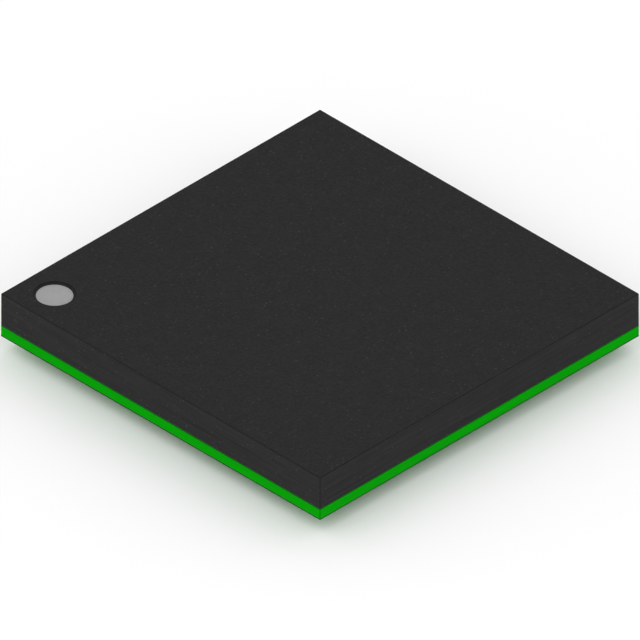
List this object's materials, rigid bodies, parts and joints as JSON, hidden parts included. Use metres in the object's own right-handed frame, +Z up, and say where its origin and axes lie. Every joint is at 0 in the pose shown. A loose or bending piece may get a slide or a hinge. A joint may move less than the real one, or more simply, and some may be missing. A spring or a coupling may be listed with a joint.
{
  "type": "ball grid array chip",
  "caption": "Square overmoulded ball grid array chip: black cap flush on a thin green board, round pin 1 recess, solder balls beneath.",
  "frame": {"origin": "middle of the seating plane, the plane that the solder balls stand on", "axes": "+Z up out of the cap's top, +Y towards ball row A, -X towards ball column 1, so the pin 1 mark is in the -X +Y corner"},
  "size_m": [0.01, 0.01, 0.0016],
  "materials": {
    "mould_compound": "matte",
    "mark_ink": "matte",
    "silicon": "polished",
    "attach_film": "matte",
    "green_laminate": "satin",
    "gold_wire": "gloss",
    "gold_plate": "satin",
    "solder": "satin"
  },
  "bodies": {
    "root": {"mould_cap": "mould_compound", "pin_one_mark": "mark_ink", "silicon_die": "silicon", "die_attach_film": "attach_film", "substrate": "green_laminate", "bond_wires_north": "gold_wire", "bond_wires_west": "gold_wire", "bond_wires_south": "gold_wire", "bond_wires_east": "gold_wire", "bond_fingers_north": "gold_plate", "bond_fingers_west": "gold_plate", "bond_fingers_south": "gold_plate", "bond_fingers_east": "gold_plate", "ball_pads_row_a": "gold_plate", "ball_pads_row_b": "gold_plate", "ball_pads_row_c": "gold_plate", "ball_pads_row_d": "gold_plate", "ball_pads_row_e": "gold_plate", "ball_pads_row_f": "gold_plate", "ball_pads_row_g": "gold_plate", "ball_pads_row_h": "gold_plate", "ball_pads_row_j": "gold_plate", "solder_balls_row_a": "solder", "solder_balls_row_b": "solder", "solder_balls_row_c": "solder", "solder_balls_row_d": "solder", "solder_balls_row_e": "solder", "solder_balls_row_f": "solder", "solder_balls_row_g": "solder", "solder_balls_row_h": "solder", "solder_balls_row_j": "solder"}
  },
  "joints": []
}
